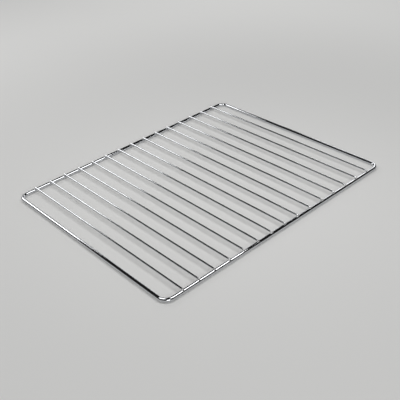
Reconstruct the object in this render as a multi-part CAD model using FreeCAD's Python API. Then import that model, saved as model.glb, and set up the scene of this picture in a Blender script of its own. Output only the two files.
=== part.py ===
import FreeCAD, Part
import math
import os

# Oven shelf rack: one loop of thick wire, bent to a rectangle, carries a row of thin cross wires.
# Every cross wire lies on the front and rear rails and is spot welded to both, then all is chrome plated.
# Millimetres. +X runs across the oven, +Y to its back and +Z up, from the surface that the rack lies on.

# Rim
rack_width = 445.0           # outside, from side to side
rack_depth = 360.0           # outside, from front to back
rim_diameter = 6.0
bend_inside_radius = 10.0    # at each of the four corners

# Cross wires
wire_diameter = 3.0
wire_count = 15
side_gap = 28.75             # from the axis of a side of the rim to the axis of the wire next to it
end_overhang = 1.2           # past the axis of the rail that an end lies on
weld_set_down = 0.5          # how deep the spot welds press a wire into its rails

# Worked out from the sizes above
rim_radius = rim_diameter / 2
wire_radius = wire_diameter / 2
bend_radius = bend_inside_radius + rim_radius
side_axis = rack_width / 2 - rim_radius
rail_axis = rack_depth / 2 - rim_radius
wire_axis_height = rim_diameter - weld_set_down + wire_radius
wire_end = rail_axis + end_overhang
wire_pitch = 2 * (side_axis - side_gap) / (wire_count - 1)

# Round bars are drawn this way, which puts the line where their surface closes underneath, clear of the welds
towards_left = FreeCAD.Vector(-1, 0, 0)
towards_back = FreeCAD.Vector(0, 1, 0)


def rim_path():
    """The closed line that the rim's wire follows, from the middle of the rear rail round to it again."""
    def on_plane(x, y):
        return FreeCAD.Vector(x, y, rim_radius)

    def bend(x_sign, y_sign, start_angle):
        centre_x = x_sign * (side_axis - bend_radius)
        centre_y = y_sign * (rail_axis - bend_radius)
        angles = [math.radians(start_angle + turn) for turn in (0, 45, 90)]
        points = [on_plane(centre_x + bend_radius * math.cos(a), centre_y + bend_radius * math.sin(a))
                  for a in angles]
        return Part.Arc(*points).toShape()

    bends = [bend(-1, 1, 90), bend(-1, -1, 180), bend(1, -1, 270), bend(1, 1, 0)]
    seam = on_plane(0, rail_axis)
    edges = []
    last_point = seam
    for corner in bends:
        edges.append(Part.LineSegment(last_point, corner.firstVertex().Point).toShape())
        edges.append(corner)
        last_point = corner.lastVertex().Point
    edges.append(Part.LineSegment(last_point, seam).toShape())
    return Part.Wire(edges)


def rim_wire():
    """Thick round wire swept round the closed path."""
    path = rim_path()
    section = Part.Wire(Part.makeCircle(rim_radius, FreeCAD.Vector(0, rail_axis, rim_radius), towards_left))
    rim = path.makePipeShell([section], True, False)
    swept_volume = math.pi * rim_radius ** 2 * path.Length
    print(f"rim: {path.Length:.1f} mm of wire, volume {rim.Volume:.1f}, section by length {swept_volume:.1f}")
    return rim


def rail_bar(y):
    """The straight stretch of a rail between its two bends, which presses its shape into the cross wires."""
    half_length = side_axis - bend_radius
    right_end = FreeCAD.Vector(half_length, y, rim_radius)
    return Part.makeCylinder(rim_radius, 2 * half_length, right_end, towards_left)


def cross_wire(x):
    """A straight wire, cut square, seated on both rails by the saddles that its welds press in."""
    front_end = FreeCAD.Vector(x, -wire_end, wire_axis_height)
    bar = Part.makeCylinder(wire_radius, 2 * wire_end, front_end, towards_back)
    return bar.cut([rail_bar(-rail_axis), rail_bar(rail_axis)])


def write_part(node, shape):
    solid = shape.Solids[0]
    print(f"{node}: {len(shape.Solids)} solid, {len(solid.Faces)} faces, volume {solid.Volume:.2f}, "
          f"valid {solid.isValid()}")
    solid.exportStep(f"parts/{node}.step")


os.makedirs("parts", exist_ok=True)
write_part("rim_wire", rim_wire())
for number in range(wire_count):
    wire_x = -side_axis + side_gap + number * wire_pitch
    write_part(f"cross_wire_{number + 1:02d}", cross_wire(wire_x))
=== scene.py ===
import math
import bpy
import numpy as np
from mathutils import Matrix, Vector


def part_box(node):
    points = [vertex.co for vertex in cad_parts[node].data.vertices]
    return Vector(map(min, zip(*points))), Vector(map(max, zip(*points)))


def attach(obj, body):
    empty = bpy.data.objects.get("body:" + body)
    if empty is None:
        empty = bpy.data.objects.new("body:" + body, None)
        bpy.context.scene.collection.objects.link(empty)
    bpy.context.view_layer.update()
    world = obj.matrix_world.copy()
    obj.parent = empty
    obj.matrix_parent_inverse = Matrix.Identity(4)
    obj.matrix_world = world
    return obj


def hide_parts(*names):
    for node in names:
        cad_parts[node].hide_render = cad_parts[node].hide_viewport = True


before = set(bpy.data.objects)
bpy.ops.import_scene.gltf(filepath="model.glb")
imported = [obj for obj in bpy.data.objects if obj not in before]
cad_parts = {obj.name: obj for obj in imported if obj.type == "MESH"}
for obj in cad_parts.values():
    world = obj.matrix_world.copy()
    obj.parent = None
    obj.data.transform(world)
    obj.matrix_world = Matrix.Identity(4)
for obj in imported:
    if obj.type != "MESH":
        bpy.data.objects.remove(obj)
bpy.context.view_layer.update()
scene = bpy.context.scene
millimetre = 0.001
print("frame loaded:", len(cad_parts), "nodes")


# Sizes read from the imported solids, rounded to a hundredth of a millimetre
def nodeBox(node):
    low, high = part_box(node)
    return np.round(np.array(low), 5), np.round(np.array(high), 5)


rimLow, rimHigh = nodeBox("rim_wire")
rimRadius = (rimHigh[2] - rimLow[2]) / 2
sideAxis = rimHigh[0] - rimRadius      # x of the two sides
railAxis = rimHigh[1] - rimRadius      # y of the front and rear rails
wireNodes = sorted(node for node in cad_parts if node.startswith("cross_wire"))
wireBoxes = {node: nodeBox(node) for node in wireNodes}
wireX = np.array([(low[0] + high[0]) / 2 for low, high in wireBoxes.values()])


# Even steps once round a circle
def roundAngles(count):
    return np.arange(count) / count * 2 * math.pi


# Corner numbers of the quads of a grid whose columns close on themselves, as its rows may, facing outwards.
# The second array holds the same corners as row and column counts that don't wrap, for the UV map.
def gridQuads(rows, columns, rowsClose):
    row, column = np.meshgrid(
        np.arange(rows if rowsClose else rows - 1), np.arange(columns), indexing="ij")
    corners = np.array([(1, 0), (1, 1), (0, 1), (0, 0)])
    places = np.stack([row.ravel(), column.ravel()], 1)[:, None, :] + corners
    quads = places[..., 0] % rows * columns + places[..., 1] % columns
    return quads, places


# Corner numbers of the two faces that close the first and the last row of such a grid
def endCaps(rows, columns):
    ring = np.arange(columns)
    return np.stack([ring, (rows - 1) * columns + ring[::-1]])


# Shells become one mesh in the order given. A shell holds its points, blocks of faces, the UV of each face's
# corners, the weld heat at each point, and which of the piece's materials it takes.
def makePiece(name, shells, materials):
    points = np.concatenate([shell["points"] for shell in shells])
    starts = np.cumsum([0] + [len(shell["points"]) for shell in shells])
    faces = []
    corners = []
    finishes = []
    for start, shell in zip(starts, shells):
        for block in shell["faces"]:
            faces += (block + start).tolist()
        corners += [uv.reshape(-1, 2) for uv in shell["uv"]]
        finishes += [shell["material"]] * sum(len(block) for block in shell["faces"])
    mesh = bpy.data.meshes.new(name)
    mesh.from_pydata(points.tolist(), [], faces)
    mesh.polygons.foreach_set("use_smooth", np.ones(len(faces), bool))
    mesh.polygons.foreach_set("material_index", np.array(finishes, np.int32))
    layer = mesh.uv_layers.new(name="wireMap")
    layer.uv.foreach_set("vector", np.concatenate(corners).astype(np.float32).ravel())
    heat = mesh.attributes.new("weldHeat", "FLOAT", "POINT")
    heat.data.foreach_set("value", np.concatenate([shell["heat"] for shell in shells]).astype(np.float32))
    for material in materials:
        mesh.materials.append(material)
    mesh.update()
    piece = bpy.data.objects.new(name, mesh)
    scene.collection.objects.link(piece)
    return piece


# Shader group with number sockets; the inputs are labels with their starting values
def newGroup(name, inputs, outputs):
    group = bpy.data.node_groups.new(name, "ShaderNodeTree")
    for label, value in inputs.items():
        socket = group.interface.new_socket(name=label, in_out="INPUT", socket_type="NodeSocketFloat")
        socket.default_value = value
    for label in outputs:
        group.interface.new_socket(name=label, in_out="OUTPUT", socket_type="NodeSocketFloat")
    return group, group.nodes.new("NodeGroupInput"), group.nodes.new("NodeGroupOutput")


# Arithmetic on numbers and sockets
def mathNode(tree, operation, *values):
    node = tree.nodes.new("ShaderNodeMath")
    node.operation = operation
    for socket, value in zip(node.inputs, values):
        if isinstance(value, (int, float)):
            socket.default_value = value
        else:
            tree.links.new(value, socket)
    return node.outputs[0]


def noiseNode(tree, vector, scale, detail, roughness):
    node = tree.nodes.new("ShaderNodeTexNoise")
    node.inputs["Scale"].default_value = scale
    node.inputs["Detail"].default_value = detail
    node.inputs["Roughness"].default_value = roughness
    tree.links.new(vector, node.inputs["Vector"])
    return node.outputs["Fac"]


# A value from low to high becomes one from toLow to toHigh, eased at both ends
def spread(tree, value, low, high, toLow=0.0, toHigh=1.0):
    node = tree.nodes.new("ShaderNodeMapRange")
    node.interpolation_type = "SMOOTHSTEP"
    tree.links.new(value, node.inputs["Value"])
    for label, number in (("From Min", low), ("From Max", high), ("To Min", toLow), ("To Max", toHigh)):
        node.inputs[label].default_value = number
    return node.outputs["Result"]


# Marks of the drawing die and the plating: each is a noise, with the levels that count as none and full
dieMarks = {
    "Streak": {"scale": 1.0, "detail": 4.0, "roughness": 0.6, "none": 0.3, "full": 0.7},
    "Grain": {"scale": 6.0, "detail": 3.0, "roughness": 0.55, "none": 0.25, "full": 0.75},
    "Cloud": {"scale": 1.0, "detail": 2.0, "roughness": 0.5, "none": 0.3, "full": 0.7},
}
cloudsPerMm = {"across": 0.35, "along": 0.045}


# The noise lies on the wire's own surface, rolled up so that it closes round the wire: across and upward are
# the radius times the cosine and the sine of the angle. It is stretched along the wire for streaks, even in
# all directions for grain, and coarse for cloudy patches.
def drawnWireGrain():
    group, given, put = newGroup(
        "drawnWireGrain",
        {"Along": 0.0, "Around": 0.0, "Radius mm": 1.5, "Streak length mm": 14.0, "Streaks per mm": 3.0},
        dieMarks)
    angle = mathNode(group, "MULTIPLY", given.outputs["Around"], 2 * math.pi)
    across = mathNode(group, "MULTIPLY", mathNode(group, "COSINE", angle), given.outputs["Radius mm"])
    upward = mathNode(group, "MULTIPLY", mathNode(group, "SINE", angle), given.outputs["Radius mm"])
    along = mathNode(group, "MULTIPLY", given.outputs["Along"], 1 / millimetre)

    def rolled(sideways, lengthways):
        vector = group.nodes.new("ShaderNodeCombineXYZ")
        group.links.new(mathNode(group, "MULTIPLY", across, sideways), vector.inputs[0])
        group.links.new(mathNode(group, "MULTIPLY", upward, sideways), vector.inputs[1])
        group.links.new(mathNode(group, "MULTIPLY", along, lengthways), vector.inputs[2])
        return vector.outputs[0]

    perLength = mathNode(group, "DIVIDE", 1.0, given.outputs["Streak length mm"])
    surfaces = {
        "Streak": rolled(given.outputs["Streaks per mm"], perLength),
        "Grain": rolled(1.0, 1.0),
        "Cloud": rolled(cloudsPerMm["across"], cloudsPerMm["along"]),
    }
    for label, mark in dieMarks.items():
        noise = noiseNode(group, surfaces[label], mark["scale"], mark["detail"], mark["roughness"])
        group.links.new(spread(group, noise, mark["none"], mark["full"]), put.inputs[label])
    return group


# Plating changes over a weld: the heat is broken up by the grain, so its edge is not a clean ring
weldEdge = {"raggedness": 0.35, "none": 0.15, "full": 0.95}


def weldBloom():
    group, given, put = newGroup(
        "weldBloom", {"Heat": 0.0, "Grain": 0.5, "Raggedness": weldEdge["raggedness"]}, ["Bloom"])
    offMiddle = mathNode(group, "SUBTRACT", given.outputs["Grain"], 0.5)
    ragged = mathNode(group, "MULTIPLY", offMiddle, given.outputs["Raggedness"])
    heat = mathNode(group, "ADD", given.outputs["Heat"], ragged)
    group.links.new(spread(group, heat, weldEdge["none"], weldEdge["full"]), put.inputs["Bloom"])
    return group


grainGroup = drawnWireGrain()
bloomGroup = weldBloom()

# Finishes: smooth is the roughness of clean plating, and cloudy, streaky and dulled are what patches, streaks
# and welds add to it; relief is the height of the streaks in millimetres
rimChrome = {
    "Radius mm": 3.0, "Streak length mm": 30.0, "Streaks per mm": 2.2,
    "dark": (0.57, 0.58, 0.60), "bright": (0.70, 0.71, 0.73), "welded": (0.54, 0.54, 0.55),
    "smooth": 0.035, "cloudy": 0.03, "streaky": 0.02, "dulled": 0.10, "relief": 0.0008,
}
wireChrome = {
    "Radius mm": 1.5, "Streak length mm": 14.0, "Streaks per mm": 3.5,
    "dark": (0.56, 0.57, 0.59), "bright": (0.69, 0.70, 0.72), "welded": (0.68, 0.68, 0.69),
    "smooth": 0.045, "cloudy": 0.03, "streaky": 0.02, "dulled": 0.05, "relief": 0.0004,
}
weldChrome = {
    "Radius mm": 2.0, "Streak length mm": 1.5, "Streaks per mm": 2.5,
    "dark": (0.54, 0.54, 0.56), "bright": (0.70, 0.70, 0.72), "welded": (0.58, 0.58, 0.59),
    "smooth": 0.12, "cloudy": 0.08, "streaky": 0.08, "dulled": 0.08, "relief": 0.0150,
}
grainRelief = 0.4        # height of the grain, as a share of the streaks'


# Chrome plate, made for the rim, the wires and the welds in turn
def chromePlate(name, finish):
    material = bpy.data.materials.new(name)
    material.use_nodes = True
    tree = material.node_tree
    shader = tree.nodes["Principled BSDF"]
    shader.inputs["Metallic"].default_value = 1.0
    uv = tree.nodes.new("ShaderNodeUVMap")
    uv.uv_map = "wireMap"
    place = tree.nodes.new("ShaderNodeSeparateXYZ")
    tree.links.new(uv.outputs["UV"], place.inputs[0])
    heat = tree.nodes.new("ShaderNodeAttribute")
    heat.attribute_name = "weldHeat"

    grain = tree.nodes.new("ShaderNodeGroup")
    grain.node_tree = grainGroup
    tree.links.new(place.outputs["X"], grain.inputs["Along"])
    tree.links.new(place.outputs["Y"], grain.inputs["Around"])
    for label in ("Radius mm", "Streak length mm", "Streaks per mm"):
        grain.inputs[label].default_value = finish[label]
    bloom = tree.nodes.new("ShaderNodeGroup")
    bloom.node_tree = bloomGroup
    tree.links.new(heat.outputs["Fac"], bloom.inputs["Heat"])
    tree.links.new(grain.outputs["Grain"], bloom.inputs["Grain"])

    # colours are a mix node's inputs 6 and 7 and its output 2
    def blended(factor, first, second):
        mix = tree.nodes.new("ShaderNodeMix")
        mix.data_type = "RGBA"
        tree.links.new(factor, mix.inputs["Factor"])
        for socket, colour in zip((mix.inputs[6], mix.inputs[7]), (first, second)):
            if isinstance(colour, tuple):
                socket.default_value = (*colour, 1.0)
            else:
                tree.links.new(colour, socket)
        return mix.outputs[2]

    plated = blended(grain.outputs["Streak"], finish["dark"], finish["bright"])
    tree.links.new(blended(bloom.outputs["Bloom"], plated, finish["welded"]), shader.inputs["Base Color"])

    rough = mathNode(tree, "MULTIPLY_ADD", grain.outputs["Cloud"], finish["cloudy"], finish["smooth"])
    rough = mathNode(tree, "MULTIPLY_ADD", grain.outputs["Streak"], finish["streaky"], rough)
    rough = mathNode(tree, "MULTIPLY_ADD", bloom.outputs["Bloom"], finish["dulled"], rough)
    tree.links.new(rough, shader.inputs["Roughness"])

    height = mathNode(tree, "MULTIPLY_ADD", grain.outputs["Grain"], grainRelief, grain.outputs["Streak"])
    bump = tree.nodes.new("ShaderNodeBump")
    bump.inputs["Distance"].default_value = finish["relief"] * millimetre
    tree.links.new(height, bump.inputs["Height"])
    tree.links.new(bump.outputs["Normal"], shader.inputs["Normal"])
    return material


rimMaterial = chromePlate("chrome_on_rim", rimChrome)
wireMaterial = chromePlate("chrome_on_wires", wireChrome)
weldMaterial = chromePlate("chrome_on_welds", weldChrome)
print("chrome finishes made")


# Rim: a circle carried round a closed path
rimWire = {
    "bendRadius": 0.013,     # of the centre line, at each corner
    "around": 48,
    "ringsOnSide": 90,
    "ringsInBend": 28,
    "heatReach": 0.004,      # how far along a rail a weld dulls the plating
    "railReach": 1.01,       # how near its axis a point counts as a rail's, in rim radii
}


# The path goes anticlockwise: a quarter circle at each corner, which is the bend radius times the outward
# direction about the corner's centre, and then a straight side to the start of the next quarter circle
def rimPath():
    reach = np.array([sideAxis, railAxis]) - rimWire["bendRadius"]
    places = []
    outwards = []
    for quarter, corner in enumerate(((1, 1), (-1, 1), (-1, -1), (1, -1))):
        turn = np.linspace(0, math.pi / 2, rimWire["ringsInBend"]) + quarter * math.pi / 2
        outward = np.stack([np.cos(turn), np.sin(turn)], 1)
        bend = reach * corner + rimWire["bendRadius"] * outward
        nextCorner = np.array((-corner[1], corner[0]))
        sideEnd = reach * nextCorner + rimWire["bendRadius"] * outward[-1]
        share = np.linspace(0, 1, rimWire["ringsOnSide"] + 2)[1:-1, None]
        side = bend[-1] * (1 - share) + sideEnd * share
        places += [bend, side]
        outwards += [outward, np.repeat(outward[-1:], len(side), 0)]
    return np.concatenate(places), np.concatenate(outwards)


# Each point is the path's, plus the radius times the cosine of its angle outwards and the sine upwards
def rimShell():
    path, outward = rimPath()
    rows, columns = len(path), rimWire["around"]
    angle = roundAngles(columns)
    sideways = rimRadius * np.cos(angle)[None, :, None] * outward[:, None, :]
    level = np.broadcast_to(rimRadius + rimRadius * np.sin(angle), (rows, columns))
    grid = np.concatenate([path[:, None, :] + sideways, level[..., None]], 2)
    quads, places = gridQuads(rows, columns, True)
    steps = np.linalg.norm(np.roll(path, -1, 0) - path, axis=1)
    along = np.concatenate([[0.0], np.cumsum(steps)])
    uv = np.stack([along[places[..., 0]], places[..., 1] / columns], 2)
    # a point's heat falls off as a bell along its rail from the nearest wire, and is nothing on the underside
    nearest = np.abs(grid[..., 0][..., None] - wireX).min(2)
    onRail = np.abs(np.abs(grid[..., 1]) - railAxis) < rimRadius * rimWire["railReach"]
    heat = np.exp(-(nearest / rimWire["heatReach"]) ** 2) * onRail * np.clip(level / rimRadius - 1, 0, 1)
    return {"points": grid.reshape(-1, 3), "faces": [quads], "uv": [uv], "heat": heat.ravel(), "material": 0}


rim = makePiece("rim", [rimShell()], [rimMaterial])
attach(rim, "root")
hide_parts("rim_wire")
print("rim:", len(rim.data.polygons), "faces")


# Cross wires: straight, with rounded ends and a slight bow between their welds
crossWire = {
    "endRounding": 0.0013,
    "ringsInRounding": 10,
    "ringsAlong": 80,
    "around": 36,
    "bow": 0.00012,          # most that the middle stands out of line, sideways and upwards
    "heatReach": 0.0035,     # how far along a wire a weld changes the plating
    "seed": 15,
}
# Welds: a lens of squeezed-out metal wrapped on the rail, under the wire and a little beyond its flanks
weldPad = {
    "halfWidth": 0.0021,     # along the rail
    "halfLength": 0.0018,    # round the rail, front to back
    "height": 0.00048,
    "depth": 0.0004,         # of its hidden underside
    "sink": 0.00005,         # of its edge, so that it runs out into the rail
    "innerRing": 0.06,       # share of the radius at which a flat cap closes it
    "rings": 9,
    "around": 40,
}
bowChance = np.random.default_rng(crossWire["seed"])


# An outline turned about the wire's line: each point is the line's, plus the bow, plus the outline's radius
# times the cosine of the angle sideways and the sine upwards. From front to rear the outline is a quarter
# circle, a straight stretch and another quarter circle.
def wireShell(low, high):
    radius = (high[0] - low[0]) / 2
    centreX = (high[0] + low[0]) / 2
    centreZ = high[2] - radius
    rounding = crossWire["endRounding"]
    turn = np.linspace(0, math.pi / 2, crossWire["ringsInRounding"])
    shoulder = high[1] - rounding
    frontY = -shoulder - rounding * np.cos(turn)
    frontRadius = radius - rounding + rounding * np.sin(turn)
    middleY = np.linspace(-shoulder, shoulder, crossWire["ringsAlong"] + 2)[1:-1]
    outlineY = np.concatenate([frontY, middleY, -frontY[::-1]])
    outlineRadius = np.concatenate([frontRadius, np.full(len(middleY), radius), frontRadius[::-1]])
    rows, columns = len(outlineY), crossWire["around"]
    angle = roundAngles(columns)
    # bow: a parabola that is nothing at both rails, with its own share sideways and upwards
    sideBow, upBow = bowChance.uniform(-1, 1, 2) * crossWire["bow"]
    bow = np.clip(1 - (outlineY / railAxis) ** 2, 0, 1)
    grid = np.stack([
        centreX + sideBow * bow[:, None] + outlineRadius[:, None] * np.cos(angle),
        np.broadcast_to(outlineY[:, None], (rows, columns)),
        centreZ + upBow * bow[:, None] + outlineRadius[:, None] * np.sin(angle)], 2)
    quads, places = gridQuads(rows, columns, False)
    uv = np.stack([outlineY[places[..., 0]] + railAxis, places[..., 1] / columns], 2)
    caps = endCaps(rows, columns)
    capUv = np.stack([outlineY[caps // columns] + railAxis, caps % columns / columns], 2)
    heat = np.exp(-((np.abs(outlineY) - railAxis) / crossWire["heatReach"]) ** 2)
    return {"points": grid.reshape(-1, 3), "faces": [quads, caps], "uv": [uv, capUv],
            "heat": np.repeat(heat, columns), "material": 0}


# Rings on the unrolled rail: the top stands up by the height times one less the square of the ring's share of
# the radius, the underside goes down likewise by the depth, and both meet in the sunken edge
def padShell(centreX, railY):
    rings, columns = weldPad["rings"], weldPad["around"]
    outwardShare = np.linspace(weldPad["innerRing"], 1, rings)
    inwardShare = np.linspace(1, weldPad["innerRing"], rings)[1:]
    share = np.concatenate([outwardShare, inwardShare])
    rise = np.where(np.arange(len(share)) < rings, weldPad["height"], -weldPad["depth"])
    angle = roundAngles(columns)
    along = weldPad["halfWidth"] * share[:, None] * np.cos(angle)
    roundRail = weldPad["halfLength"] * share[:, None] * np.sin(angle) / rimRadius
    stand = rimRadius - weldPad["sink"] + (rise * (1 - share ** 2))[:, None]
    grid = np.stack([
        centreX + along,
        railY + stand * np.sin(roundRail),
        rimRadius + stand * np.cos(roundRail)], 2)
    rows = len(share)
    quads, places = gridQuads(rows, columns, False)
    uv = np.stack([share[places[..., 0]] * weldPad["halfWidth"], places[..., 1] / columns], 2)
    capUv = np.zeros((2, columns, 2))
    return {"points": grid.reshape(-1, 3), "faces": [quads, endCaps(rows, columns)], "uv": [uv, capUv],
            "heat": np.full(rows * columns, 1.0), "material": 1}


for node, (low, high) in wireBoxes.items():
    middle = (low[0] + high[0]) / 2
    shells = [wireShell(low, high), padShell(middle, -railAxis), padShell(middle, railAxis)]
    wire = makePiece("crossWire" + node[-2:], shells, [wireMaterial, weldMaterial])
    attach(wire, "root")
    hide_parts(node)
print("cross wires:", len(wireBoxes), "with", 2 * len(wireBoxes), "welds")


# Floor: level out to its flat radius, with a low wall far behind everything
studioFloor = {
    "flatRadius": 3.2,
    "coveRadius": 0.5,
    "around": 96,
    "rings": 14,
    "colour": (0.73, 0.73, 0.72),
    "roughness": 0.9,
    "specular": 0.15,
    "nearGlow": 0.20,        # share of the floor's look that no shadow or lamp changes, by the rack
    "farGlow": 0.66,         # and away from it, where the lamps don't reach
    "glowFrom": 0.20,        # distances from the middle between which the one becomes the other
    "glowTo": 0.9,
}


# A disc, and a quarter circle turned about the middle: a ring's radius is the flat one plus the cove's times
# the sine, and its level is the cove's radius times one less the cosine
def floorShape():
    turn = np.linspace(0, math.pi / 2, studioFloor["rings"])
    ringRadius = studioFloor["flatRadius"] + studioFloor["coveRadius"] * np.sin(turn)
    ringLevel = studioFloor["coveRadius"] * (1 - np.cos(turn))
    rows, columns = len(turn), studioFloor["around"]
    angle = roundAngles(columns)
    grid = np.stack([
        ringRadius[:, None] * np.cos(angle),
        ringRadius[:, None] * np.sin(angle),
        np.broadcast_to(ringLevel[:, None], (rows, columns))], 2)
    quads, _ = gridQuads(rows, columns, False)
    disc = list(range(columns))
    mesh = bpy.data.meshes.new("studioFloor")
    mesh.from_pydata(grid.reshape(-1, 3).tolist(), [], quads.tolist() + [disc])
    mesh.polygons.foreach_set("use_smooth", np.ones(len(mesh.polygons), bool))
    return mesh


# Even pale ground: seen straight or in the chrome, part of the floor is its plain colour and the rest is lit
# paper. The plain part grows with the distance from the middle.
def paleFloor():
    material = bpy.data.materials.new("pale_floor")
    material.use_nodes = True
    tree = material.node_tree
    lit = tree.nodes["Principled BSDF"]
    lit.inputs["Base Color"].default_value = (*studioFloor["colour"], 1.0)
    lit.inputs["Roughness"].default_value = studioFloor["roughness"]
    lit.inputs["Specular IOR Level"].default_value = studioFloor["specular"]
    plain = tree.nodes.new("ShaderNodeEmission")
    plain.inputs["Color"].default_value = (*studioFloor["colour"], 1.0)
    plain.inputs["Strength"].default_value = 1.0

    path = tree.nodes.new("ShaderNodeLightPath")
    seen = mathNode(tree, "MAXIMUM", path.outputs["Is Camera Ray"], path.outputs["Is Glossy Ray"])
    seen = mathNode(tree, "MAXIMUM", seen, path.outputs["Is Transmission Ray"])
    place = tree.nodes.new("ShaderNodeTexCoord")
    reach = tree.nodes.new("ShaderNodeVectorMath")
    reach.operation = "LENGTH"
    tree.links.new(place.outputs["Object"], reach.inputs[0])
    share = spread(tree, reach.outputs["Value"], studioFloor["glowFrom"], studioFloor["glowTo"],
                   studioFloor["nearGlow"], studioFloor["farGlow"])

    mix = tree.nodes.new("ShaderNodeMixShader")
    tree.links.new(mathNode(tree, "MULTIPLY", seen, share), mix.inputs["Fac"])
    tree.links.new(lit.outputs["BSDF"], mix.inputs[1])
    tree.links.new(plain.outputs["Emission"], mix.inputs[2])
    tree.links.new(mix.outputs["Shader"], tree.nodes["Material Output"].inputs["Surface"])
    return material


floor = bpy.data.objects.new("studioFloor", floorShape())
floor.data.materials.append(paleFloor())
scene.collection.objects.link(floor)
print("floor laid")


# Soft light: white panels that face the rack's middle, turned in their own plane by degrees;
# brightness is that of the panel's face, 1 being a white card
softboxes = {
    "backLeftHigh": {"place": (-0.30, 0.15, 0.82), "size": (0.30, 0.42), "turn": 20, "brightness": 5.2},
    "frontRightHigh": {"place": (0.15, -0.23, 0.70), "size": (0.42, 0.36), "turn": -35, "brightness": 4.6},
    "behind": {"place": (-0.155, 1.00, 0.674), "size": (0.72, 0.41), "turn": -13.4, "brightness": 3.1},
    "right": {"place": (1.12, 0.48, 0.68), "size": (0.45, 0.45), "turn": 0, "brightness": 2.6},
    "lowBackRight": {"place": (0.90, 0.90, 0.27), "size": (0.60, 0.30), "turn": 0, "brightness": 1.4},
    "frontLeft": {"place": (-0.85, -1.40, 0.62), "size": (0.70, 0.42), "turn": 0, "brightness": 7.0},
}
studioGrey = (0.015, 0.015, 0.015)     # what lies beyond the panels and the floor


# An even panel gives off pi times its brightness from each square metre
def addSoftbox(name, panel):
    light = bpy.data.lights.new(name, "AREA")
    light.shape = "RECTANGLE"
    light.size, light.size_y = panel["size"]
    light.energy = panel["brightness"] * math.pi * light.size * light.size_y
    lamp = bpy.data.objects.new(name, light)
    place = Vector(panel["place"])
    lamp.matrix_world = (Matrix.Translation(place) @ place.to_track_quat("Z", "Y").to_matrix().to_4x4()
                         @ Matrix.Rotation(math.radians(panel["turn"]), 4, "Z"))
    scene.collection.objects.link(lamp)


for name, panel in softboxes.items():
    addSoftbox(name, panel)

world = bpy.data.worlds.new("dimStudio")
world.use_nodes = True
world.node_tree.nodes["Background"].inputs["Color"].default_value = (*studioGrey, 1.0)
scene.world = world
print("lights set:", ", ".join(softboxes))


# Camera, as the photograph was taken
photoView = {
    "place": (-0.58340, -0.69012, 0.56084),
    "lookAt": (-0.03260, -0.03560, 0.0),     # floor point in the middle of the picture
    "roll": -4.383,                          # degrees
    "lens": 60.885,                          # millimetres
    "sensor": 36.0,                          # millimetres wide
}
lensData = bpy.data.cameras.new("photoCamera")
lensData.sensor_width = photoView["sensor"]
lensData.lens = photoView["lens"]
camera = bpy.data.objects.new("photoCamera", lensData)
sight = Vector(photoView["lookAt"]) - Vector(photoView["place"])
camera.matrix_world = (Matrix.Translation(Vector(photoView["place"]))
                       @ sight.to_track_quat("-Z", "Y").to_matrix().to_4x4()
                       @ Matrix.Rotation(math.radians(photoView["roll"]), 4, "Z"))
scene.collection.objects.link(camera)
scene.camera = camera
scene.view_settings.view_transform = "Standard"
print("camera placed")
